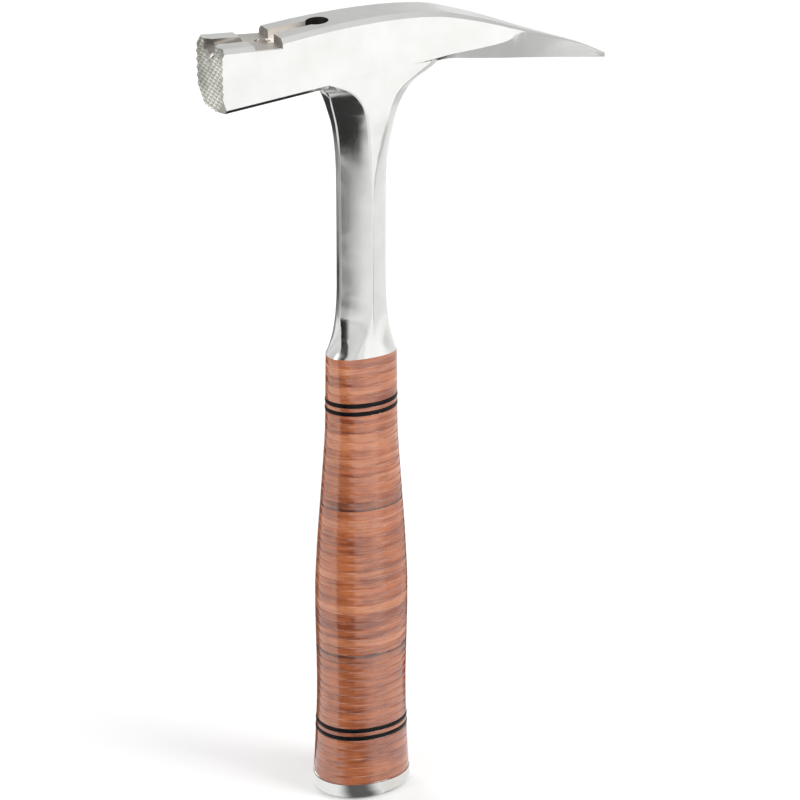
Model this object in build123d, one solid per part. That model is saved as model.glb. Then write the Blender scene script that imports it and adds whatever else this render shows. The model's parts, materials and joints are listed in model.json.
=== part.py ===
from build123d import *
import math
import os

# Full-steel hammer with a pick and a stacked-leather grip.
# Millimetres. +Z runs up the shank, +X points to the pick, Y crosses the head.
# The origin is the centre of the flat butt face, on the axis of the grip.

# ---- driving dimensions -------------------------------------------------

# Heights along the grip, up from the butt face
CAP_TOP = 6.7
LEATHER_TOP = 191.9
RING_THICKNESS = 1.8
RING_PITCH = 3.4
LOWER_RINGS_Z = 29.35
UPPER_RINGS_Z = 170.85
WASHER_THICKNESS = 3.7

# Grip section: (height, half length along X, half width along Y, roundness)
GRIP_STATIONS = [
    (0.0, 20.3, 16.3, 2.10),
    (8.0, 20.1, 16.0, 2.12),
    (20.0, 19.4, 15.8, 2.15),
    (46.0, 18.6, 15.1, 2.15),
    (88.0, 19.4, 15.2, 2.10),
    (112.0, 18.5, 14.1, 2.05),
    (134.0, 17.0, 12.7, 2.00),
    (158.0, 15.4, 11.2, 2.00),
    (172.0, 15.1, 10.8, 2.05),
    (191.9, 14.8, 9.0, 2.40),
]
OUTLINE_POINTS = 32
RING_PROUD = 0.15
CAP_PROUD = 0.25
CAP_EDGE_RADIUS = 3.6

# Flat tang that carries the leather
TANG_LENGTH_X = 14.0
TANG_WIDTH_Y = 6.0
TANG_CORNER = 1.2
TANG_CLEARANCE = 0.1
RIVET_DEPTH = 1.6
RIVET_FLARE = 1.4

# Head: sides taper evenly from the striking face to the root of the pick
FACE_X = -64.5
PICK_ROOT_X = 28.0
FACE_HALF_WIDTH = 12.0
ROOT_HALF_WIDTH = 8.4
FACE_TILT = 1.0
FACE_TOP_Z = 328.8
FACE_BOTTOM_Z = 302.6
PICK_ROOT_BOTTOM_Z = 310.0
POLL_BACK_TOP_Z = 327.3
POLL_TOP_CHAMFER = 1.7
BOTTOM_CHAMFER = 1.8
HEAD_MIDDLE_Z = 318.0
HEAD_TOP_CHAMFER = 1.8

# Nail holder in the top of the head
STEP_X = -38.2
NOTCH_START_X = -49.5
NOTCH_FLOOR_FRONT_Z = 326.5
NOTCH_FLOOR_Z = 325.9
GROOVE_RADIUS = 3.5
GROOVE_FLOOR_FACE_Z = 324.0
GROOVE_FLOOR_NOTCH_Z = 326.7
MOUTH_RADIUS = 6.6
MOUTH_END_RADIUS = 3.0
MOUTH_LEAD = 1.0
MOUTH_FLARE_LENGTH = 4.5
NOTCH_FRONT_LEAN = 2.0
SLOT_HALF_WIDTH = 2.7
KEYHOLE_X = -18.8
KEYHOLE_RADIUS = 4.5
KEYHOLE_FLOOR_Z = 323.4
MAGNET_X = -41.6
MAGNET_RADIUS = 3.2
MAGNET_DEPTH = 3.0
MAGNET_RECESS = 0.2

# Chequered striking face
TOOTH_PITCH = 2.3
TOOTH_DEPTH = 0.85
TOOTH_FLAT = 0.35
GROOVE_LIFT = 0.01
LOWER_BEVEL = 7.5
UPPER_BEVEL = 5.0
BEVEL_DEPTH = 2.6

# Stock and overlaps that other pieces or cuts use up
FACE_STOCK = 4.0
TANG_OVERLAP = 2.0
CUT_MARGIN = 10.0
CUT_BLOCK = 80.0

# Arched top of the head behind the step, in the XZ plane
HEAD_ARCH = [(28.0, 330.5), (14.0, 331.75), (0.0, 331.95), (-20.0, 331.05), (-38.2, 329.3)]

# Sections of the pick: (x, top z, top flat half width, top edge drop, upper shoulder
# half width, lower shoulder half width, lower shoulder z, bottom half width, bottom z)
PICK_STATIONS = [
    (28.0, 330.5, 6.6, 1.8, 8.38, 8.38, 311.8, 6.6, 310.0),
    (32.0, 329.75, 6.5, 1.75, 8.15, 8.15, 312.2, 6.2, 310.25),
    (36.0, 328.7, 6.3, 1.65, 7.85, 7.85, 312.5, 5.8, 310.1),
    (44.0, 326.2, 5.7, 1.4, 7.10, 7.10, 312.6, 5.1, 308.8),
    (53.0, 323.1, 4.9, 1.2, 6.10, 6.10, 312.8, 4.1, 307.3),
    (61.0, 320.0, 3.9, 1.1, 5.00, 5.00, 313.4, 3.0, 305.9),
    (66.0, 318.0, 3.3, 0.9, 4.25, 4.22, 314.9, 2.3, 305.1),
    (70.0, 316.4, 2.8, 0.8, 3.50, 3.42, 315.1, 1.85, 304.5),
    (84.0, 311.25, 1.5, 0.5, 2.00, 1.94, 310.2, 1.1, 302.45),
    (97.0, 306.2, 0.9, 0.4, 1.25, 1.22, 305.4, 0.8, 300.6),
    (107.2, 301.0, 0.5, 0.3, 0.75, 0.74, 300.5, 0.5, 299.2),
]

PICK_SECTIONS = 24

# Neck: narrow flats along its ridges, and the height where its oval foot ends
NECK_SECTIONS = 48
RIDGE_FLAT = 1.0
FACET_CROWN = 0.25
NECK_INSET = 0.02
FLUSH_START_Z = 276.0
FLUSH_END_Z = 298.0
OVAL_FOOT_TOP = 209.0
OVAL_FOOT_POWER = 2.4

# Edges of the neck section, round one side from the front ridge to the back strip:
# (steps along the edge, and where it starts and ends on the oval foot, in degrees)
NECK_EDGES = [(3, 56, 80), (2, 84, 96), (3, 100, 124), (5, 142, 218)]

# Sections of the neck: (z, front x, front ridge x, front strip half width,
# back x, back ridge x, back strip half width, side half width)
NECK_STATIONS = [
    (191.9, 14.7, 3.0, 3.7, 14.7, 3.0, 3.7, 8.95),
    (195.6, 13.1, 2.3, 3.2, 13.2, 2.6, 3.3, 8.6),
    (202.0, 11.5, 0.9, 2.5, 11.5, 2.2, 2.8, 8.1),
    (209.0, 10.5, -0.3, 2.2, 10.4, 2.0, 2.6, 7.8),
    (218.0, 10.0, -0.7, 2.1, 9.9, 2.0, 2.5, 7.7),
    (238.0, 10.0, -0.8, 2.1, 9.7, 2.1, 2.5, 7.7),
    (258.0, 10.05, -0.6, 2.1, 9.8, 2.3, 2.5, 7.75),
    (270.0, 10.2, -0.1, 2.1, 10.0, 3.2, 2.8, 8.05),
    (280.0, 10.8, 0.6, 2.3, 10.9, 5.4, 3.7, 8.5),
    (288.0, 11.9, 1.3, 2.7, 12.0, 7.3, 5.0, 8.9),
    (294.0, 13.5, 2.5, 3.2, 13.6, 8.5, 5.7, 9.2),
    (299.0, 15.0, 4.6, 3.9, 16.1, 10.8, 5.9, 9.4),
    (302.5, 16.7, 7.6, 5.0, 18.6, 13.7, 6.1, 9.4),
    (305.0, 19.3, 11.2, 6.4, 21.8, 17.3, 6.3, 9.4),
    (307.0, 22.0, 15.8, 7.5, 25.2, 20.5, 6.5, 9.4),
    (309.0, 25.2, 20.5, 8.3, 28.5, 23.8, 6.5, 9.4),
    (311.0, 28.0, 24.0, 8.5, 31.0, 27.0, 6.5, 9.4),
]


# ---- small helpers ------------------------------------------------------

def mix(low, high, share):
    return low + (high - low) * share


def ease(share):
    """0 to 1 with a gentle start and end, held outside that span."""
    held = min(max(share, 0), 1)
    return held * held * (3 - 2 * held)


def smooth_value(stations, place, column):
    """Catmull-Rom value of one column of a station list at a place."""
    last = len(stations) - 1
    k = 0
    while k < last - 1 and place > stations[k + 1][0]:
        k += 1
    x1, x2 = stations[k][0], stations[k + 1][0]
    y1, y2 = stations[k][column], stations[k + 1][column]
    before = stations[max(k - 1, 0)]
    after = stations[min(k + 2, last)]
    span = x2 - x1
    slope1 = (y2 - before[column]) / (x2 - before[0])
    slope2 = (after[column] - y1) / (after[0] - x1)
    t = (place - x1) / span
    return (
        y1 * (2 * t**3 - 3 * t**2 + 1)
        + slope1 * span * (t**3 - 2 * t**2 + t)
        + y2 * (3 * t**2 - 2 * t**3)
        + slope2 * span * (t**3 - t**2)
    )


def polygon_wire(points):
    return Wire.make_polygon([Vector(p) for p in points], close=True)


def loft(wires, ruled=False):
    return Solid.make_loft(wires, ruled=ruled)


# ---- grip ---------------------------------------------------------------

def grip_outline(z, proud=0.0):
    """Closed rounded-oval outline of the grip at height z."""
    half_x = smooth_value(GRIP_STATIONS, z, 1) + proud
    half_y = smooth_value(GRIP_STATIONS, z, 2) + proud
    power = 2 / smooth_value(GRIP_STATIONS, z, 3)
    points = []
    for k in range(OUTLINE_POINTS):
        turn = 2 * math.pi * k / OUTLINE_POINTS
        c, s = math.cos(turn), math.sin(turn)
        x = half_x * math.copysign(abs(c) ** power, c)
        y = half_y * math.copysign(abs(s) ** power, s)
        points.append(Vector(x, y, z))
    return Wire([Edge.make_spline(points, periodic=True)])


def tang_bar(z_low, z_high, clearance=0.0):
    section = RectangleRounded(
        TANG_LENGTH_X + 2 * clearance, TANG_WIDTH_Y + 2 * clearance, TANG_CORNER
    )
    return extrude(Pos(0, 0, z_low) * section, amount=z_high - z_low)


def rivet_flare():
    """Countersunk end of the tang, peened into the cap."""
    outer = RectangleRounded(
        TANG_LENGTH_X + 2 * RIVET_FLARE, TANG_WIDTH_Y + 2 * RIVET_FLARE, TANG_CORNER + RIVET_FLARE
    )
    inner = RectangleRounded(TANG_LENGTH_X, TANG_WIDTH_Y, TANG_CORNER)
    return loft([outer.wire(), (Pos(0, 0, RIVET_DEPTH) * inner).wire()], ruled=True)


def grip_slice(z_low, z_high, proud=0.0):
    """One piece of the stack between two heights, with its slot for the tang."""
    body = loft([grip_outline(z_low, proud), grip_outline(z_high, proud)], ruled=True)
    return body - tang_bar(z_low - CUT_MARGIN, z_high + CUT_MARGIN, TANG_CLEARANCE)


def butt_cap():
    body = loft([grip_outline(0, CAP_PROUD), grip_outline(CAP_TOP, CAP_PROUD)], ruled=True)
    rim = body.edges().sort_by(Axis.Z)[0]
    body = fillet(rim, CAP_EDGE_RADIUS)
    return body - tang_bar(-CUT_MARGIN, CAP_TOP + CUT_MARGIN, TANG_CLEARANCE) - rivet_flare()


def ring_spans(centre):
    """Low and high faces of the two black rings of a pair."""
    half = RING_THICKNESS / 2
    lower, upper = centre - RING_PITCH / 2, centre + RING_PITCH / 2
    return [(lower - half, lower + half), (upper - half, upper + half)]


def leather_spans():
    """Low and high faces of every full washer, from the cap up."""
    lower, upper = ring_spans(LOWER_RINGS_Z), ring_spans(UPPER_RINGS_Z)
    stretches = [
        (CAP_TOP, lower[0][0]),
        (lower[1][1], upper[0][0]),
        (upper[1][1], LEATHER_TOP),
    ]
    spans = []
    for low, high in stretches:
        count = round((high - low) / WASHER_THICKNESS)
        for k in range(count):
            spans.append((mix(low, high, k / count), mix(low, high, (k + 1) / count)))
    return spans


# ---- forging: head ------------------------------------------------------

def head_half_width(x):
    return mix(FACE_HALF_WIDTH, ROOT_HALF_WIDTH, (x - FACE_X) / (PICK_ROOT_X - FACE_X))


def head_wedge(x_low, x_high):
    """Tall prism between the two flat, converging sides of the head."""
    low, high = head_half_width(x_low), head_half_width(x_high)
    plan = Polygon((x_low, -low), (x_high, -high), (x_high, high), (x_low, low), align=None)
    bottom, top = LEATHER_TOP - CUT_MARGIN, HEAD_ARCH[2][1] + CUT_MARGIN
    return extrude(Pos(0, 0, bottom) * plan, amount=top - bottom)


def side_line(start, end):
    return Edge.make_line(Vector(start[0], 0, start[1]), Vector(end[0], 0, end[1]))


def side_plate(edges):
    """Thick plate whose outline is drawn in the XZ plane."""
    return extrude(Face(Wire(edges)), amount=FACE_HALF_WIDTH + CUT_MARGIN, dir=(0, 1, 0), both=True)


def poll_bottom_z(x):
    return mix(FACE_BOTTOM_Z, PICK_ROOT_BOTTOM_Z, (x - FACE_X) / (PICK_ROOT_X - FACE_X))


def poll_top_z(x):
    return mix(FACE_TOP_Z, POLL_BACK_TOP_Z, (x - FACE_X) / (STEP_X - FACE_X))


def long_edges(solid, front, back, top):
    """Two long edges of the head's top or bottom between two places along X."""
    chosen = []
    for edge in solid.edges():
        ends = sorted([edge.position_at(0).X, edge.position_at(1).X])
        reaches = abs(ends[0] - front) < 0.1 and abs(ends[1] - back) < 0.1
        if reaches and (edge.center().Z > HEAD_MIDDLE_Z) == top:
            chosen.append(edge)
    return chosen


def head_bar():
    """Head from ahead of the striking face to the root of the pick."""
    front = FACE_X - FACE_STOCK
    corners = [
        (STEP_X, HEAD_ARCH[-1][1]),
        (STEP_X, poll_top_z(STEP_X)),
        (front, poll_top_z(front)),
        (front, poll_bottom_z(front)),
        (PICK_ROOT_X, PICK_ROOT_BOTTOM_Z),
        (PICK_ROOT_X, HEAD_ARCH[0][1]),
    ]
    outline = [side_line(corners[k], corners[k + 1]) for k in range(len(corners) - 1)]
    outline.append(Edge.make_spline([Vector(x, 0, z) for x, z in HEAD_ARCH]))
    bar = (side_plate(outline) & head_wedge(front, PICK_ROOT_X)).solid()
    bar = bar.chamfer(BOTTOM_CHAMFER, None, long_edges(bar, front, PICK_ROOT_X, False))
    bar = bar.chamfer(HEAD_TOP_CHAMFER, None, long_edges(bar, STEP_X, PICK_ROOT_X, True))
    return bar.chamfer(POLL_TOP_CHAMFER, None, long_edges(bar, front, STEP_X, True))


def pick_section(x, top_z, flat, edge, upper, lower, lower_z, bottom, bottom_z):
    """Eight-sided section of the pick across its length."""
    half = [
        (flat, top_z),
        (upper, top_z - edge),
        (lower, lower_z),
        (bottom, bottom_z),
    ]
    near = [(x, -y, z) for y, z in half]
    far = [(x, y, z) for y, z in reversed(half)]
    return polygon_wire(near + far)


def pick():
    """Pick lofted through evenly spaced sections, so that it runs smooth."""
    tip_x = PICK_STATIONS[-1][0]
    wires = []
    for k in range(PICK_SECTIONS):
        x = mix(PICK_ROOT_X, tip_x, k / (PICK_SECTIONS - 1))
        row = [smooth_value(PICK_STATIONS, x, column) for column in range(1, 9)]
        wires.append(pick_section(x, *row))
    return loft(wires)


# ---- forging: shank -----------------------------------------------------

def neck_section(z):
    """Eight-sided section with flattened corners, which turns oval towards the leather.

    The sides are straight, and the four facets between them are slightly crowned.
    """
    front_x, front_ridge, front_strip, back_x, back_ridge, back_strip, side = [
        smooth_value(NECK_STATIONS, z, column) for column in range(1, 8)
    ]
    flush = ease((z - FLUSH_START_Z) / (FLUSH_END_Z - FLUSH_START_Z))
    near = [
        Vector(-front_x, -front_strip, z),
        Vector(-front_ridge, -mix(side, head_half_width(-front_ridge) - NECK_INSET, flush), z),
        Vector(back_ridge, -mix(side, head_half_width(back_ridge) - NECK_INSET, flush), z),
        Vector(back_x, -back_strip, z),
    ]
    corners = near + [Vector(v.X, -v.Y, z) for v in reversed(near)]
    share = 1 - ease((z - LEATHER_TOP) / (OVAL_FOOT_TOP - LEATHER_TOP))
    blended = []
    for k, corner in enumerate(corners):
        half_turn, edge = divmod(k, len(NECK_EDGES))
        steps, foot_start, foot_end = NECK_EDGES[edge]
        run = corners[(k + 1) % len(corners)] - corner
        outward = Vector(run.Y, -run.X, 0).normalized()
        crown = FACET_CROWN * (1 - flush) if edge % 2 == 0 else 0
        inset = RIDGE_FLAT / 2 / run.length
        for step in range(steps + 1):
            along = mix(inset, 1 - inset, step / steps)
            point = corner + run * along + outward * (crown * 4 * along * (1 - along))
            turn = math.radians(180 * (1 + half_turn) + mix(foot_start, foot_end, step / steps))
            c, s = math.cos(turn), math.sin(turn)
            half_x = front_x if c < 0 else back_x
            x = half_x * math.copysign(abs(c) ** (2 / OVAL_FOOT_POWER), c)
            y = side * math.copysign(abs(s) ** (2 / OVAL_FOOT_POWER), s)
            blended.append(Vector(mix(point.X, x, share), mix(point.Y, y, share), z))
    return polygon_wire(blended)


def neck():
    bottom, top = NECK_STATIONS[0][0], NECK_STATIONS[-1][0]
    heights = [mix(bottom, top, k / (NECK_SECTIONS - 1)) for k in range(NECK_SECTIONS)]
    return loft([neck_section(z) for z in heights])


# ---- forging: nail holder and striking face -----------------------------

def nail_groove():
    """Round-bottomed groove, flared at the face, that runs out at the notch."""
    start = Vector(FACE_X, 0, GROOVE_FLOOR_FACE_Z + GROOVE_RADIUS)
    end = Vector(NOTCH_START_X, 0, GROOVE_FLOOR_NOTCH_Z + GROOVE_RADIUS)
    run = end - start
    plane = Plane(origin=start - run * 0.5, x_dir=(0, 1, 0), z_dir=run)
    tube = extrude(plane * Circle(GROOVE_RADIUS), amount=run.length * 2)
    mouth = Plane(origin=(FACE_X - MOUTH_LEAD, 0, start.Z), x_dir=(0, 1, 0), z_dir=(1, 0, 0))
    low_end = (Align.CENTER, Align.CENTER, Align.MIN)
    flare = Cone(MOUTH_RADIUS, MOUTH_END_RADIUS, MOUTH_LEAD + MOUTH_FLARE_LENGTH, align=low_end)
    return tube + mouth * flare


def notch():
    """Shallow step across the head that takes the head of the nail."""
    outline = [
        (NOTCH_START_X, NOTCH_FLOOR_FRONT_Z),
        (STEP_X, NOTCH_FLOOR_Z),
        (STEP_X, NOTCH_FLOOR_Z + CUT_MARGIN),
        (NOTCH_START_X - NOTCH_FRONT_LEAN, NOTCH_FLOOR_Z + CUT_MARGIN),
    ]
    return side_plate([side_line(outline[k - 1], outline[k]) for k in range(len(outline))])


def keyhole():
    """Nail puller: a slot from the step that opens into a round hole."""
    slot_length = KEYHOLE_X - STEP_X + 1
    slot = Box(slot_length, 2 * SLOT_HALF_WIDTH, CUT_BLOCK, align=(Align.MAX, Align.CENTER, Align.MIN))
    hole = Cylinder(KEYHOLE_RADIUS, CUT_BLOCK, align=(Align.CENTER, Align.CENTER, Align.MIN))
    return Pos(KEYHOLE_X, 0, NOTCH_FLOOR_Z) * slot + Pos(KEYHOLE_X, 0, KEYHOLE_FLOOR_Z) * hole


def magnet(extra=0.0):
    """Round magnet in the floor of the notch, or its pocket when it is made taller."""
    bottom = NOTCH_FLOOR_Z - MAGNET_RECESS - MAGNET_DEPTH
    low_end = (Align.CENTER, Align.CENTER, Align.MIN)
    return Pos(MAGNET_X, 0, bottom) * Cylinder(MAGNET_RADIUS, MAGNET_DEPTH + extra, align=low_end)


def outside_block():
    """Block that stands on a plane and clears away all that lies above it."""
    return Box(CUT_BLOCK, CUT_BLOCK, CUT_MARGIN, align=(Align.CENTER, Align.CENTER, Align.MIN))


def face_plane():
    """Plane of the striking face, looking out of the poll, with its y axis up."""
    tilt = math.radians(FACE_TILT)
    outward = Vector(-math.cos(tilt), 0, -math.sin(tilt))
    return Plane(origin=(FACE_X, 0, poll_top_z(FACE_X)), x_dir=(0, 1, 0), z_dir=outward)


def face_trim():
    """Everything in front of the striking face."""
    return face_plane() * outside_block()


def chequer_cuts():
    """V-grooves both ways at 45 degrees across the striking face."""
    half = (TOOTH_PITCH - TOOTH_FLAT) / 2
    plane = face_plane()
    height = FACE_TOP_Z - FACE_BOTTOM_Z
    diagonal = math.hypot(height, 2 * FACE_HALF_WIDTH)
    middle = -math.copysign(height / 2, plane.y_dir.Z)
    groove = Polygon((-half, GROOVE_LIFT), (half, GROOVE_LIFT), (0, -TOOTH_DEPTH), align=None)
    bar = extrude(Plane.XZ * groove, amount=diagonal, both=True)
    side_count = math.ceil(diagonal / 2 / TOOTH_PITCH)
    cuts = []
    for lean in (45, -45):
        for k in range(-side_count, side_count + 1):
            cuts.append(plane * Pos(0, middle, 0) * Rot(0, 0, lean) * Pos(k * TOOTH_PITCH, 0, 0) * bar)
    return cuts


def corner_bevels():
    """Blocks that take the four corners off the striking face."""
    setback = (FACE_TOP_Z - FACE_BOTTOM_Z) * math.tan(math.radians(FACE_TILT))
    corners = [
        (FACE_X, FACE_TOP_Z, -UPPER_BEVEL),
        (FACE_X + setback, FACE_BOTTOM_Z, LOWER_BEVEL),
    ]
    bevels = []
    for x, z, reach in corners:
        for side in (-1, 1):
            y = side * FACE_HALF_WIDTH
            on_side = Vector(x, y, z + reach)
            on_end = Vector(x, y - side * abs(reach), z)
            inside = Vector(x + BEVEL_DEPTH, y, z)
            normal = (on_end - on_side).cross(inside - on_side)
            if normal.X > 0:
                normal = normal * -1
            bevels.append(Plane(origin=on_side, z_dir=normal) * outside_block())
    return bevels


# ---- the whole forging --------------------------------------------------

def forging():
    head = head_bar() - face_trim()
    head = head - chequer_cuts()
    head = head - corner_bevels()
    head = head - nail_groove() - notch()
    body = head + pick() + neck()
    body = body + tang_bar(0, LEATHER_TOP + TANG_OVERLAP) + rivet_flare()
    return body - keyhole() - magnet(extra=CUT_MARGIN)


# ---- write every piece --------------------------------------------------

def pieces():
    """Name and shape of every separate piece."""
    made = {
        "forged_hammer": forging(),
        "butt_cap": butt_cap(),
        "nail_magnet": magnet(),
    }
    for k, (low, high) in enumerate(leather_spans()):
        made[f"leather_washer_{k + 1:02d}"] = grip_slice(low, high)
    for name, centre in (("lower", LOWER_RINGS_Z), ("upper", UPPER_RINGS_Z)):
        first, second = ring_spans(centre)
        made[f"black_ring_{name}_1"] = grip_slice(*first, RING_PROUD)
        made[f"black_ring_{name}_2"] = grip_slice(*second, RING_PROUD)
        made[f"thin_washer_{name}"] = grip_slice(first[1], second[0])
    return made


os.makedirs("parts", exist_ok=True)
for node, shape in pieces().items():
    export_step(shape, f"parts/{node}.step")
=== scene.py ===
import bpy
import bmesh
import json
import math
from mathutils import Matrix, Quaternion, Vector, noise


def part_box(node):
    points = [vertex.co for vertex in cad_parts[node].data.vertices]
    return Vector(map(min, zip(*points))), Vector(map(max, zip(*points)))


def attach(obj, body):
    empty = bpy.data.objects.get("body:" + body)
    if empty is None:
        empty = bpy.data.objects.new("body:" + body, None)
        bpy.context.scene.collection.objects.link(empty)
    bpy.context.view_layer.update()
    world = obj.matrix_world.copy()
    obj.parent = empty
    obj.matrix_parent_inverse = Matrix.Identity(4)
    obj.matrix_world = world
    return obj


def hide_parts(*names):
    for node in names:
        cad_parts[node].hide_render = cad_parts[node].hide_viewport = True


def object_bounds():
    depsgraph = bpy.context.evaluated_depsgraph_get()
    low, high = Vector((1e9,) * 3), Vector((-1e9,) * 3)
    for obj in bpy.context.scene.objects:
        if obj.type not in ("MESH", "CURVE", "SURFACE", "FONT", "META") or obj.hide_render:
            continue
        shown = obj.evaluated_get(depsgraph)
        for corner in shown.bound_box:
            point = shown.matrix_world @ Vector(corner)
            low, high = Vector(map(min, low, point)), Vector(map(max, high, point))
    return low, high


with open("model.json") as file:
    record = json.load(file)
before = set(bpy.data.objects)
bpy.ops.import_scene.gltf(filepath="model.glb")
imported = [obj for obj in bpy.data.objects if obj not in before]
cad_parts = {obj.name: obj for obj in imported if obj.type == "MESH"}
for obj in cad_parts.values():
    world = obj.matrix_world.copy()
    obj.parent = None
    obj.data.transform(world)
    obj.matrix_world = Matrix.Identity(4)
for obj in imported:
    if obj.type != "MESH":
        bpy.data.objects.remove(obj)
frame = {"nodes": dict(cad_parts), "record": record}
cad_low, cad_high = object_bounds()
MM = 0.001

# ---- sizes and places, from the imported frame and one given length --------------------

NECK_LENGTH = 108 * MM

centre = (cad_low + cad_high) / 2
face_x = cad_low.x
top_washer = max(n for n in frame["nodes"] if n.startswith("leather_washer"))
leather_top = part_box(top_washer)[1].z
neck_top = leather_top + NECK_LENGTH
slot_of = {part["node"]: part["material_slot"] for part in frame["record"]["subparts"]}
opening = {each["name"]: each["box_m"] for each in frame["record"]["physics"]["openings"]}


# ---- camera ---------------------------------------------------------------------------

CAMERA_TURN = math.radians(-26.30)
CAMERA_RISE = math.radians(22.51)
CAMERA_ROLL = math.radians(0.2)
CAMERA_DISTANCE = 1.7066
CAMERA_LENS = 191.6
CAMERA_SENSOR = 36
CAMERA_NEAR = 0.01
CAMERA_FAR = 50
AIM_SHIFT = Vector((-0.0041, 0.0, 0.0015))


def add_camera():
    data = bpy.data.cameras.new("camera")
    data.sensor_width = CAMERA_SENSOR
    data.lens = CAMERA_LENS
    data.clip_start, data.clip_end = CAMERA_NEAR, CAMERA_FAR
    camera = bpy.data.objects.new("camera", data)
    back = Vector((
        math.sin(CAMERA_TURN) * math.cos(CAMERA_RISE),
        -math.cos(CAMERA_TURN) * math.cos(CAMERA_RISE),
        math.sin(CAMERA_RISE),
    ))
    camera.location = centre + AIM_SHIFT + back * CAMERA_DISTANCE
    camera.rotation_mode = "QUATERNION"
    facing = (-back).to_track_quat("-Z", "Y")
    camera.rotation_quaternion = facing @ Quaternion((0, 0, 1), CAMERA_ROLL)
    bpy.context.scene.collection.objects.link(camera)
    bpy.context.scene.camera = camera


# ---- node helpers ---------------------------------------------------------------------

def new_material(name):
    material = bpy.data.materials.new(name)
    material.use_nodes = True
    tree = material.node_tree
    tree.nodes.clear()
    output = tree.nodes.new("ShaderNodeOutputMaterial")
    shader = tree.nodes.new("ShaderNodeBsdfPrincipled")
    tree.links.new(shader.outputs["BSDF"], output.inputs["Surface"])
    return material, tree, shader


def place(tree, stretch=(1, 1, 1)):
    """Object coordinates in millimetres, stretched along each axis."""
    coords = tree.nodes.new("ShaderNodeTexCoord")
    mapping = tree.nodes.new("ShaderNodeMapping")
    mapping.inputs["Scale"].default_value = [s / MM for s in stretch]
    tree.links.new(coords.outputs["Object"], mapping.inputs["Vector"])
    return mapping.outputs["Vector"]


def split_xyz(tree, vector):
    node = tree.nodes.new("ShaderNodeSeparateXYZ")
    tree.links.new(vector, node.inputs["Vector"])
    return node.outputs


def noise_node(tree, vector, scale, detail=2.0, rough=0.5, distortion=0.0):
    node = tree.nodes.new("ShaderNodeTexNoise")
    node.inputs["Scale"].default_value = scale
    node.inputs["Detail"].default_value = detail
    node.inputs["Roughness"].default_value = rough
    node.inputs["Distortion"].default_value = distortion
    tree.links.new(vector, node.inputs["Vector"])
    return node.outputs["Fac"]


def ramp(tree, value, low, high, out_low=0.0, out_high=1.0):
    """The value mapped from low..high to out_low..out_high, held at the ends."""
    node = tree.nodes.new("ShaderNodeMapRange")
    node.inputs["From Min"].default_value = low
    node.inputs["From Max"].default_value = high
    node.inputs["To Min"].default_value = out_low
    node.inputs["To Max"].default_value = out_high
    tree.links.new(value, node.inputs["Value"])
    return node.outputs["Result"]


def blend_colours(tree, factor, first, second):
    node = tree.nodes.new("ShaderNodeMix")
    node.data_type = "RGBA"
    for socket, value in (("A", first), ("B", second)):
        target = [s for s in node.inputs if s.name == socket and s.type == "RGBA"][0]
        if isinstance(value, (tuple, list)):
            target.default_value = (*value[:3], 1)
        else:
            tree.links.new(value, target)
    tree.links.new(factor, node.inputs["Factor"])
    return [s for s in node.outputs if s.type == "RGBA"][0]


def maths(tree, operation, first, second):
    node = tree.nodes.new("ShaderNodeMath")
    node.operation = operation
    for socket, value in zip(node.inputs, (first, second)):
        if isinstance(value, (int, float)):
            socket.default_value = value
        else:
            tree.links.new(value, socket)
    return node.outputs[0]


def weighted(tree, value, weight):
    return maths(tree, "MULTIPLY", value, weight)


def bump(tree, shader, height, strength, distance=0.0002, previous=None):
    node = tree.nodes.new("ShaderNodeBump")
    node.inputs["Strength"].default_value = strength
    node.inputs["Distance"].default_value = distance
    tree.links.new(height, node.inputs["Height"])
    if previous is not None:
        tree.links.new(previous, node.inputs["Normal"])
    tree.links.new(node.outputs["Normal"], shader.inputs["Normal"])
    return node.outputs["Normal"]


# ---- materials ------------------------------------------------------------------------

# Heights in millimetres between which the grinding marks turn from the neck to the head
BRUSH_TURN_LOW = 296.0
BRUSH_TURN_HIGH = 308.0
STAIN_START, STAIN_FULL = 0.35, 0.75
CLOUD_SHARE, BRUSH_SHARE = 0.6, 0.4
WAVE_DEPTH = 0.0012
BRUSH_DEPTH = 0.00004
BRUSH_STRENGTH = 0.10


def steel(name, colour, stain, low, high, grain, waviness):
    """Ground and polished steel: fine brushing, soft waviness and faint staining.

    The roughness runs from low to high, and grain is how fast the brushing varies along each axis.
    """
    material, tree, shader = new_material(name)
    shader.inputs["Metallic"].default_value = 1.0
    along_head = noise_node(tree, place(tree, grain), 1.0, 3.0, 0.6)
    along_neck = noise_node(tree, place(tree, (grain[1], grain[2], grain[0])), 1.0, 3.0, 0.6)
    turn = ramp(tree, split_xyz(tree, place(tree))["Z"], BRUSH_TURN_LOW, BRUSH_TURN_HIGH)
    on_neck = weighted(tree, along_neck, maths(tree, "SUBTRACT", 1.0, turn))
    brushed = maths(tree, "ADD", weighted(tree, along_head, turn), on_neck)
    clouds = noise_node(tree, place(tree), 0.06, 4.0, 0.6)
    waves = noise_node(tree, place(tree), 0.11, 1.0, 0.4)
    tint = blend_colours(tree, ramp(tree, clouds, STAIN_START, STAIN_FULL), colour, stain)
    tree.links.new(tint, shader.inputs["Base Color"])
    cloudy = weighted(tree, clouds, CLOUD_SHARE)
    mixed = maths(tree, "ADD", cloudy, weighted(tree, brushed, BRUSH_SHARE))
    tree.links.new(ramp(tree, mixed, 0.3, 0.7, low, high), shader.inputs["Roughness"])
    first = bump(tree, shader, waves, waviness, WAVE_DEPTH)
    bump(tree, shader, brushed, BRUSH_STRENGTH, BRUSH_DEPTH, first)
    return material


# Shares of each kind of variation in the leather's body colour
BANDS_SHARE = 0.56
FIBRES_SHARE = 0.16
MOTTLE_SHARE = 0.28
STREAKS_STRENGTH = 0.45
LINES_STRENGTH = 0.42
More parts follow.
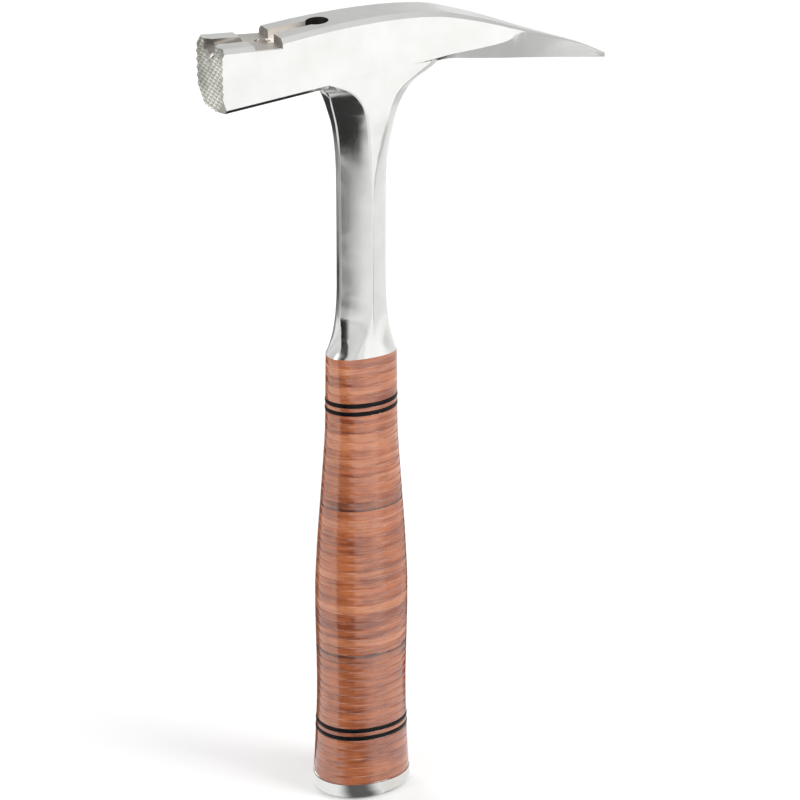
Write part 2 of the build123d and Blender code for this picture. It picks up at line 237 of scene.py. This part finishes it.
# The leather is darker by this much up to the first height, in millimetres, and not at all
# from the second
LOW_END_DARKENING = 0.10
LOW_END_DARKENING_HEIGHTS = (40.0, 150.0)
# A seam is full within the first distance and gone at the second, as shares of the washer
SEAM_STRENGTH = 0.8
SEAM_REACH = (0.06, 0.34)
LACQUER_IOR = 1.92
LACQUER_ROUGHNESS = (0.08, 0.14)
LEATHER_ROUGHNESS = (0.36, 0.50)
LEATHER_SPECULAR = 0.15
LEATHER_BUMP = 0.4
BAND_DEPTH = 0.0002
FIBRE_DEPTH = 0.00008


def leather(name, light, dark, line, streak, seam=None):
    """Edge-on layers of lacquered leather: uneven bands, fibres, pale streaks and dark lines.

    A seam is a dark line at a share of the washer's own thickness.
    """
    material, tree, shader = new_material(name)
    bands = noise_node(tree, place(tree, (0.032, 0.032, 0.42)), 1.0, 4.0, 0.62, 0.4)
    fibres = noise_node(tree, place(tree, (0.22, 0.22, 2.4)), 1.0, 3.0, 0.65, 0.5)
    streaks = noise_node(tree, place(tree, (0.05, 0.05, 1.25)), 1.7, 2.0, 0.55, 0.3)
    mottle = noise_node(tree, place(tree), 0.11, 4.0, 0.62)
    spots = weighted(tree, mottle, MOTTLE_SHARE)
    fine = maths(tree, "ADD", weighted(tree, fibres, FIBRES_SHARE), spots)
    shade = maths(tree, "ADD", weighted(tree, bands, BANDS_SHARE), fine)
    body = blend_colours(tree, ramp(tree, shade, 0.415, 0.585), dark, light)
    pale = weighted(tree, ramp(tree, streaks, 0.57, 0.70), STREAKS_STRENGTH)
    body = blend_colours(tree, pale, body, streak)
    lines = weighted(tree, ramp(tree, fibres, 0.58, 0.72), LINES_STRENGTH)
    body = blend_colours(tree, lines, body, line)
    # Darker towards the lower end of the grip
    low_end_darkening = ramp(tree, split_xyz(tree, place(tree))["Z"], *LOW_END_DARKENING_HEIGHTS, LOW_END_DARKENING, 0.0)
    body = blend_colours(tree, low_end_darkening, body, line)
    if seam is not None:
        coords = tree.nodes.new("ShaderNodeTexCoord")
        share = split_xyz(tree, coords.outputs["Generated"])["Z"]
        apart = maths(tree, "ABSOLUTE", maths(tree, "SUBTRACT", share, seam), 0)
        wander = weighted(tree, maths(tree, "SUBTRACT", mottle, 0.5), 0.5)
        uneven = maths(tree, "ADD", apart, wander)
        body = blend_colours(tree, ramp(tree, uneven, *SEAM_REACH, SEAM_STRENGTH, 0.0), body, line)
    tree.links.new(body, shader.inputs["Base Color"])
    tree.links.new(ramp(tree, mottle, 0.3, 0.7, *LEATHER_ROUGHNESS), shader.inputs["Roughness"])
    shader.inputs["Specular IOR Level"].default_value = LEATHER_SPECULAR
    shader.inputs["Coat Weight"].default_value = 1.0
    shader.inputs["Coat IOR"].default_value = LACQUER_IOR
    tree.links.new(ramp(tree, bands, 0.3, 0.7, *LACQUER_ROUGHNESS), shader.inputs["Coat Roughness"])
    first = bump(tree, shader, bands, LEATHER_BUMP, BAND_DEPTH)
    bump(tree, shader, fibres, LEATHER_BUMP, FIBRE_DEPTH, first)
    return material


def black_ring_material():
    """Black vulcanised fibre with fine specks."""
    material, tree, shader = new_material("black_ring_look")
    specks = noise_node(tree, place(tree, (1, 1, 2)), 0.9, 3.0)
    black, speck = (0.003, 0.003, 0.004), (0.010, 0.009, 0.010)
    tint = blend_colours(tree, ramp(tree, specks, 0.4, 0.7), black, speck)
    tree.links.new(tint, shader.inputs["Base Color"])
    tree.links.new(ramp(tree, specks, 0.3, 0.7, 0.16, 0.26), shader.inputs["Roughness"])
    shader.inputs["Specular IOR Level"].default_value = 0.12
    bump(tree, shader, specks, 0.2, 0.00005)
    return material


def floor_material():
    material, tree, shader = new_material("floor_white")
    grain = noise_node(tree, place(tree), 0.02, 2.0)
    greys = (0.93, 0.93, 0.93), (0.95, 0.95, 0.95)
    tree.links.new(blend_colours(tree, grain, *greys), shader.inputs["Base Color"])
    shader.inputs["Roughness"].default_value = 0.9
    shader.inputs["Specular IOR Level"].default_value = 0.0
    return material


# ---- grip pieces ----------------------------------------------------------------------

RIM_POINTS = 144
SLOT_HALF_X = 7.1 * MM
SLOT_HALF_Y = 3.1 * MM
# A wall point lies at least this many times as far out as the slot for the tang
WALL_OVER_SLOT = 1.25
RIPPLE = 0.03 * MM
LEATHER_EDGE = 0.14 * MM
RING_INSET = 0.1 * MM
RING_EDGE = 0.35 * MM
RING_SWELL = 0.08 * MM


def rim_angle(step):
    return -math.pi + 2 * math.pi * step / RIM_POINTS


def slot_reach(angle):
    """Distance from the axis to the wall of the slot for the tang."""
    across = SLOT_HALF_X / max(abs(math.cos(angle)), 1e-6)
    return min(across, SLOT_HALF_Y / max(abs(math.sin(angle)), 1e-6))


def outline_at(node, height):
    """Distance of the node's outer wall from the grip axis, for evenly spaced angles."""
    reach = {}
    for vertex in frame["nodes"][node].data.vertices:
        if abs(vertex.co.z - height) < 1e-5:
            angle = round(math.atan2(vertex.co.y, vertex.co.x), 4)
            reach[angle] = max(math.hypot(vertex.co.x, vertex.co.y), reach.get(angle, 0))
    wall = sorted((a, r) for a, r in reach.items() if r > WALL_OVER_SLOT * slot_reach(a))
    turn = 2 * math.pi
    wall = [(a - turn, r) for a, r in wall] + wall + [(a + turn, r) for a, r in wall]
    outline = []
    k = 0
    for step in range(RIM_POINTS):
        angle = rim_angle(step)
        while wall[k + 1][0] < angle:
            k += 1
        (a0, r0), (a1, r1) = wall[k], wall[k + 1]
        outline.append(r0 + (r1 - r0) * (angle - a0) / max(a1 - a0, 1e-9))
    return outline


def grip_piece(node, material, inset, edge, swell, seed):
    """Closed ring between the node's own heights, with softened edges."""
    low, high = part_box(node)
    lower, upper = outline_at(node, low.z), outline_at(node, high.z)
    height = high.z - low.z
    # Rows of the outer wall: share of the height, how far the row drops in from the wall
    rows = [(0.0, edge), (0.25 * edge / height, 0.35 * edge), (0.8 * edge / height, 0.0)]
    rows += [(share, 0.0) for share in (0.3, 0.5, 0.7)]
    rows += [(1 - share, drop) for share, drop in reversed(rows[:3])]
    builder = bmesh.new()

    def loop_of(radii, z):
        points = []
        for step, radius in enumerate(radii):
            angle = rim_angle(step)
            points.append(builder.verts.new((radius * math.cos(angle), radius * math.sin(angle), z)))
        return points

    loops = []
    for share, drop in rows:
        radii = []
        for step in range(RIM_POINTS):
            angle = rim_angle(step)
            ripple = noise.noise(Vector((math.cos(angle) * 1.7, math.sin(angle) * 1.7, seed * 3.1)))
            radius = lower[step] + (upper[step] - lower[step]) * share
            radius += -inset - drop + swell * math.sin(math.pi * share) + RIPPLE * (ripple - 1)
            radii.append(radius)
        loops.append(loop_of(radii, low.z + height * share))
    for z in (high.z, low.z):
        loops.append(loop_of([slot_reach(rim_angle(step)) for step in range(RIM_POINTS)], z))
    for k, loop in enumerate(loops):
        following = loops[(k + 1) % len(loops)]
        for step in range(RIM_POINTS):
            ahead = (step + 1) % RIM_POINTS
            face = builder.faces.new((loop[step], loop[ahead], following[ahead], following[step]))
            face.smooth = k < len(rows) - 1
    mesh = bpy.data.meshes.new(node + "_look")
    builder.to_mesh(mesh)
    builder.free()
    piece = bpy.data.objects.new(node + "_look", mesh)
    bpy.context.scene.collection.objects.link(piece)
    mesh.materials.append(material)
    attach(piece, "root")
    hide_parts(node)


# ---- forging --------------------------------------------------------------------------

POLISHED, CHEQUERED, HOLDER_WALL, DEEP_HOLE, NOTCH_BED, SLOT = range(6)
CHEQUER_DEPTH = 1.4 * MM
CHEQUER_EDGE_DEPTH = 1.3 * MM
HOLE_RIM_Z = opening["puller_hole"][1][2] - 5.2 * MM
HOLE_FLOOR_Z = opening["puller_hole"][0][2] + 0.9 * MM
SLOT_RIM_Z = opening["puller_slot"][0][2] + 4.1 * MM
GROOVE_END_X = opening["nail_head_notch"][0][0] - 0.3 * MM
GROOVE_HALF_WIDTH = 6.3 * MM
GROOVE_RIM_Z = opening["nail_groove_mouth"][0][2] + 0.6 * MM
GROOVE_LOWEST_Z = opening["nail_groove_mouth"][0][2] - 2.7 * MM
# Edges of the neck keep their own rounding: below neck_top and within this distance of the axis
NECK_HALF_LENGTH = 22 * MM
EDGE_ROUNDING = 0.6 * MM
ROUNDED_BEND = math.radians(14)
SHARP_BEND = math.radians(40)
JOIN_DISTANCE = 0.002 * MM


def inside(name, point, slack):
    """Whether a point lies in a named opening of the record, widened by slack in millimetres."""
    low, high = opening[name]
    return all(low[k] - slack[k] * MM <= point[k] <= high[k] + slack[k] * MM for k in range(3))


def surface_kind(at, normal):
    """Which steel a facet shows, from where it is and which way it faces."""
    if at.x < face_x + CHEQUER_DEPTH and normal.x < -0.2:
        return CHEQUERED
    # The deep hole's floor and walls get near-black steel: painted shade of the hole.
    if inside("puller_hole", at, (1.5, 1.5, 0.5)):
        if at.z < HOLE_FLOOR_Z or (at.z < HOLE_RIM_Z and normal.z < 0.9):
            return DEEP_HOLE
    # The puller slot gets pale steel: painted light that brightens the slot's own shade.
    if inside("puller_slot", at, (0.3, 0.4, 0.3)) and at.z < SLOT_RIM_Z:
        return SLOT
    # The notch's walls get the dark holder steel: painted shade.
    if inside("nail_head_notch", at, (0.9, 8.0, 1.2)) and abs(normal.y) < 0.8:
        return NOTCH_BED if normal.z > 0.7 else HOLDER_WALL
    # The nail groove's walls get the dark holder steel too: painted shade of the groove.
    in_groove = at.x < GROOVE_END_X and abs(at.y) < GROOVE_HALF_WIDTH and at.z > GROOVE_LOWEST_Z
    below_top = at.z < GROOVE_RIM_Z or normal.z < 0.99
    if in_groove and below_top and normal.z > -0.2 and abs(normal.x) < 0.9:
        return HOLDER_WALL
    return POLISHED


def mark_edges(mesh):
    """Bevel weights for the head's edges, and sharp marks where a strong bend has no bevel."""
    weight = mesh.attributes.new("bevel_weight_edge", "FLOAT", "EDGE")
    polygons_of = {}
    for polygon in mesh.polygons:
        for key in polygon.edge_keys:
            polygons_of.setdefault(key, []).append(polygon)
    for edge in mesh.edges:
        both = polygons_of.get(edge.key, [])
        if len(both) != 2:
            continue
        bend = both[0].normal.angle(both[1].normal, 0)
        first, second = (mesh.vertices[v].co for v in edge.vertices)
        middle = (first + second) / 2
        chequer = middle.x < face_x + CHEQUER_EDGE_DEPTH
        on_neck = middle.z < neck_top and abs(middle.x) < NECK_HALF_LENGTH
        if bend > ROUNDED_BEND and not chequer and not on_neck:
            weight.data[edge.index].value = 1.0
        elif bend > SHARP_BEND:
            edge.use_edge_sharp = True


def forging_piece(materials):
    source = frame["nodes"]["forged_hammer"]
    builder = bmesh.new()
    builder.from_mesh(source.data)
    bmesh.ops.remove_doubles(builder, verts=builder.verts, dist=JOIN_DISTANCE)
    flat = math.radians(0.5)
    bmesh.ops.dissolve_limit(builder, angle_limit=flat, verts=builder.verts, edges=builder.edges)
    mesh = bpy.data.meshes.new("forging_look")
    builder.to_mesh(mesh)
    builder.free()
    mesh.materials.clear()
    for material in materials:
        mesh.materials.append(material)
    for polygon in mesh.polygons:
        polygon.use_smooth = True
        polygon.material_index = surface_kind(polygon.center, polygon.normal)
    piece = bpy.data.objects.new("forging_look", mesh)
    bpy.context.scene.collection.objects.link(piece)
    mark_edges(mesh)
    bevel = piece.modifiers.new("edge_rounding", "BEVEL")
    bevel.limit_method = "WEIGHT"
    bevel.width = EDGE_ROUNDING
    bevel.segments = 3
    bevel.use_clamp_overlap = True
    bevel.harden_normals = False
    normals = piece.modifiers.new("flat_normals", "WEIGHTED_NORMAL")
    normals.keep_sharp = True
    normals.weight = 60
    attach(piece, "root")
    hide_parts("forged_hammer")


# ---- studio ---------------------------------------------------------------------------

FLOOR_GLOW = 1.0
FLOOR_REACH = 6.0
FLOOR_DROP = 0.05 * MM
FLAG_LIFT = 0.2 * MM
CARD_DISTANCE = 1.3
BACKDROP_GLOW = 1.02
# Brightness of the surroundings by direction: 0 is straight down, 0.5 level, 1 straight up
SKY_STOPS = (
    (0.0, 0.9), (0.5, 0.92), (0.544, 0.84), (0.604, 0.74),
    (0.671, 0.67), (0.787, 0.74), (0.883, 0.78), (1.0, 0.9),
)
# Lights: name, place, width, watts
LIGHTS = (
    ("key", (1.1, -1.3, 1.5), 0.9, 19),
    ("left", (-1.6, -0.2, 1.0), 0.8, 4),
    ("back", (-0.2, 1.6, 1.3), 0.9, 8),
)


def soft_light(name, place_at, target, size, power):
    data = bpy.data.lights.new(name, "AREA")
    data.shape = "SQUARE"
    data.size = size
    data.energy = power
    light = bpy.data.objects.new(name, data)
    light.location = place_at
    light.rotation_mode = "QUATERNION"
    light.rotation_quaternion = (target - Vector(place_at)).to_track_quat("-Z", "Y")
    bpy.context.scene.collection.objects.link(light)


def smooth(value, start, end):
    """0 to 1 between two values, with a gentle start and end."""
    share = min(max((value - start) / (end - start), 0), 1)
    return share * share * (3 - 2 * share)


def band(value, start, full, fade, end):
    """1 between full and fade, falling softly to 0 at start and end."""
    return smooth(value, start, full) * (1 - smooth(value, fade, end))


def bearing(degrees, distance, z):
    """Point at a bearing from the grip: 0 towards -Y, 90 towards +X."""
    angle = math.radians(degrees)
    return (math.sin(angle) * distance, -math.cos(angle) * distance, z)


def flag(name, across, along, point, darkness, dark):
    """Studio flag seen only in reflections: a grid that shades softly from white to dark."""
    points, shades = [], []
    for u in across:
        for v in along:
            points.append(point(u, v))
            shades.append(FLOOR_GLOW + (dark - FLOOR_GLOW) * darkness(u, v))
    rows = len(along)
    faces = [
        (k * rows + j, k * rows + j + 1, (k + 1) * rows + j + 1, (k + 1) * rows + j)
        for k in range(len(across) - 1) for j in range(rows - 1)
    ]
    mesh = bpy.data.meshes.new(name)
    mesh.from_pydata(points, [], faces)
    shade = mesh.color_attributes.new("shade", "FLOAT_COLOR", "POINT")
    for k, grey in enumerate(shades):
        shade.data[k].color = (grey, grey, grey, 1)
    material = bpy.data.materials.new(name)
    material.use_nodes = True
    tree = material.node_tree
    tree.nodes.clear()
    stored = tree.nodes.new("ShaderNodeAttribute")
    stored.attribute_name = "shade"
    glow = tree.nodes.new("ShaderNodeEmission")
    output = tree.nodes.new("ShaderNodeOutputMaterial")
    tree.links.new(stored.outputs["Color"], glow.inputs["Color"])
    tree.links.new(glow.outputs["Emission"], output.inputs["Surface"])
    mesh.materials.append(material)
    card = bpy.data.objects.new(name, mesh)
    card.visible_camera = card.visible_diffuse = card.visible_shadow = False
    card.visible_transmission = card.visible_volume_scatter = False
    bpy.context.scene.collection.objects.link(card)


def steps(start, end, count):
    return [start + (end - start) * k / (count - 1) for k in range(count)]


# Flag on the floor in front and to the left, in stretches of growing distance: how dark it is, the
# bearings between which it fades, and the distances over which the next stretch takes over
FRONT_LEFT_STRETCHES = (
    (0.98, -26, -12, 0.42, 0.49),
    (1.00, -38, -20, 0.570, 0.595),
    (0.16, -44, -22, 0.635, 0.660),
    (1.00, -40, -20, 0.75, 0.78),
    (0.22, -44, -22, 0.95, 1.15),
    (1.00, -42, -36, None, None),
)
# Shade of each flag at its darkest, where the open floor is FLOOR_GLOW
FRONT_LEFT_SHADE = 0.015
BACK_LEFT_SHADE = 0.04
BACK_RIGHT_SHADE = 0.03
RIGHT_SHADE = 0.62
# The pale part of the left flag, as a share of its darkest part
LEFT_SHARE = 0.68


def on_floor(degrees, distance):
    return bearing(degrees, distance, FLAG_LIFT)


def upright(degrees, height):
    return bearing(degrees, CARD_DISTANCE, height)


def front_left(degrees, distance):
    near = 0.89 * band(degrees, -60, -36, -12, 14) * (1 - smooth(distance, 0.10, 0.16))
    far, share = 0.0, 1.0
    for strength, first, last, start, end in FRONT_LEFT_STRETCHES:
        rest = share * smooth(distance, start, end) if start else 0.0
        far += (share - rest) * strength * (1 - smooth(degrees, first, last))
        share = rest
    return max(near, far * smooth(degrees, -70, -62) * smooth(distance, 0.05, 0.10))


def back_left(degrees, distance):
    strength = 1 - 0.26 * smooth(distance, 0.58, 0.68)
    wide = band(degrees, -200, -186, -149, -143) * (1 - smooth(distance, 0.72, 0.78))
    far = band(degrees, -200, -186, -156, -151) * (1 - smooth(distance, 1.0, 1.3))
    pale = LEFT_SHARE * band(degrees, -146, -134, -80, -70) * band(distance, 0.52, 0.58, 0.72, 0.95)
    return max(max(wide, far) * strength, pale)


def back_right(degrees, distance):
    far = 0.32 + 0.16 * band(degrees, 128, 138, 164, 172)
    return band(degrees, 92, 104, 166, 178) * band(distance, 0.06, 0.10, far, far + 0.06)


def right(degrees, distance):
    far = 0.64 - 0.12 * smooth(degrees, 52, 70)
    return band(degrees, 32, 42, 104, 116) * band(distance, 0.14, 0.22, far - 0.06, far + 0.06)


def left_card(degrees, height):
    return band(degrees, -72, -66, -37, -31) * (1 - smooth(height, 0.42, 0.52))


def add_flags():
    reaches = [0.005, 0.03, 0.06, 0.08, 0.10, 0.13, 0.16, 0.25, 0.40, 0.43, 0.46]
    reaches += steps(0.49, 0.79, 31) + [0.85, 0.90, 0.95, 1.0, 1.1, 1.3]
    flag("flag_front_left", steps(-70, 14, 43), reaches, on_floor, front_left, FRONT_LEFT_SHADE)
    flag("flag_back_left", steps(-202, -70, 67), reaches, on_floor, back_left, BACK_LEFT_SHADE)
    behind = steps(0.05, 0.56, 24)
    flag("flag_back_right", steps(90, 180, 46), behind, on_floor, back_right, BACK_RIGHT_SHADE)
    flag("flag_right", steps(30, 118, 31), steps(0.13, 0.71, 17), on_floor, right, RIGHT_SHADE)
    heights = steps(0.001, 0.53, 12)
    flag("flag_left_card", steps(-74, -32, 29), heights, upright, left_card, FRONT_LEFT_SHADE)


def add_floor():
    mesh = bpy.data.meshes.new("floor")
    r = FLOOR_REACH
    mesh.from_pydata([(-r, -r, 0), (r, -r, 0), (r, r, 0), (-r, r, 0)], [], [(0, 1, 2, 3)])
    floor = bpy.data.objects.new("floor", mesh)
    floor.location.z = cad_low.z - FLOOR_DROP
    mesh.materials.append(floor_material())
    bpy.context.scene.collection.objects.link(floor)


def add_world():
    """White where the camera looks past the floor; shaded by height for light and reflections."""
    world = bpy.data.worlds.new("studio")
    bpy.context.scene.world = world
    world.use_nodes = True
    tree = world.node_tree
    tree.nodes.clear()
    coords = tree.nodes.new("ShaderNodeTexCoord")
    height = split_xyz(tree, coords.outputs["Generated"])["Z"]
    sky = tree.nodes.new("ShaderNodeValToRGB")
    for position, grey in SKY_STOPS:
        stop = sky.color_ramp.elements.new(position)
        stop.color = (grey, grey, grey, 1)
    sky.color_ramp.elements.remove(sky.color_ramp.elements[0])
    sky.color_ramp.elements.remove(sky.color_ramp.elements[-1])
    tree.links.new(ramp(tree, height, -1.0, 1.0), sky.inputs["Fac"])
    seen = tree.nodes.new("ShaderNodeBackground")
    lit = tree.nodes.new("ShaderNodeBackground")
    tree.links.new(sky.outputs["Color"], lit.inputs["Color"])
    seen.inputs["Color"].default_value = (1, 1, 1, 1)
    seen.inputs["Strength"].default_value = BACKDROP_GLOW
    path = tree.nodes.new("ShaderNodeLightPath")
    choose = tree.nodes.new("ShaderNodeMixShader")
    tree.links.new(path.outputs["Is Camera Ray"], choose.inputs["Fac"])
    tree.links.new(lit.outputs["Background"], choose.inputs[1])
    tree.links.new(seen.outputs["Background"], choose.inputs[2])
    output = tree.nodes.new("ShaderNodeOutputWorld")
    tree.links.new(choose.outputs["Shader"], output.inputs["Surface"])


def add_studio():
    add_floor()
    add_flags()
    add_world()
    for name, place_at, size, power in LIGHTS:
        soft_light(name, place_at, centre, size, power)
    bpy.context.scene.view_settings.view_transform = "Standard"


# ---- build ----------------------------------------------------------------------------

# Name, colour, stain, lowest and highest roughness, grain along each axis, waviness
STEELS = (
    ("head_steel", (0.76, 0.76, 0.745), (0.69, 0.69, 0.67), 0.08, 0.19, (0.25, 5, 5), 0.05),
    ("face_steel", (0.46, 0.46, 0.42), (0.20, 0.20, 0.17), 0.24, 0.42, (2, 2, 2), 0.25),
    # Dark holder steel: painted shade on the notch's walls and in the nail groove
    ("holder_painted_shade_steel", (0.30, 0.275, 0.25), (0.16, 0.14, 0.125), 0.30, 0.45, (1.5, 1.5, 1.5), 0.2),
    # Near-black hole steel: painted shade in the deep puller hole
    ("hole_painted_shade_steel", (0.06, 0.055, 0.05), (0.03, 0.028, 0.026), 0.5, 0.7, (2, 2, 2), 0.2),
    ("bed_steel", (0.62, 0.60, 0.57), (0.42, 0.39, 0.36), 0.34, 0.5, (0.5, 3, 3), 0.1),
    # Pale slot steel: painted light inside the puller slot
    ("slot_painted_light_steel", (0.95, 0.92, 0.88), (0.80, 0.76, 0.72), 0.45, 0.6, (1, 3, 3), 0.1),
    ("cap_steel_look", (0.80, 0.80, 0.78), (0.70, 0.70, 0.67), 0.12, 0.22, (1, 1, 9), 0.2),
    ("magnet_look", (0.62, 0.58, 0.52), (0.45, 0.40, 0.35), 0.2, 0.35, (3, 3, 3), 0.2),
)
steels = [steel(*row) for row in STEELS]
# The forging's steels stand first, in the order of POLISHED to SLOT
forging_steels, (cap_steel, magnet_metal) = steels[:6], steels[6:]

# Leathers: light, dark, line and streak colours
TAN = ((0.48, 0.135, 0.042), (0.23, 0.048, 0.014), (0.08, 0.015, 0.007), (0.60, 0.25, 0.11))
PALE = ((0.56, 0.195, 0.080), (0.33, 0.086, 0.028), (0.12, 0.028, 0.011), (0.68, 0.34, 0.18))
DARK = ((0.37, 0.108, 0.040), (0.17, 0.040, 0.015), (0.050, 0.012, 0.008), (0.47, 0.19, 0.09))
dark_lower = leather("leather_dark_lower_look", *DARK, seam=0.85)
dark_upper = leather("leather_dark_upper_look", *DARK, seam=0.12)
looks = {
    "leather_tan": leather("leather_tan_look", *TAN),
    "leather_light": leather("leather_light_look", *PALE),
    "black_ring": black_ring_material(),
}

add_camera()
add_studio()
forging_piece(forging_steels)
for index, node in enumerate(sorted(frame["nodes"])):
    slot = slot_of[node]
    if slot == "leather_dark":
        look = dark_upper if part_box(node)[0].z > leather_top / 2 else dark_lower
    else:
        look = looks.get(slot)
    if slot.startswith("leather"):
        inset = (0.02 + 0.05 * (0.5 + 0.5 * noise.noise(Vector((index * 1.7, 0.3, 0.9))))) * MM
        grip_piece(node, look, inset, LEATHER_EDGE, 0.0, index)
    elif slot == "black_ring":
        grip_piece(node, look, RING_INSET, RING_EDGE, RING_SWELL, index)
    elif node != "forged_hammer":
        carried = frame["nodes"][node].data.materials
        carried.clear()
        carried.append(cap_steel if node == "butt_cap" else magnet_metal)
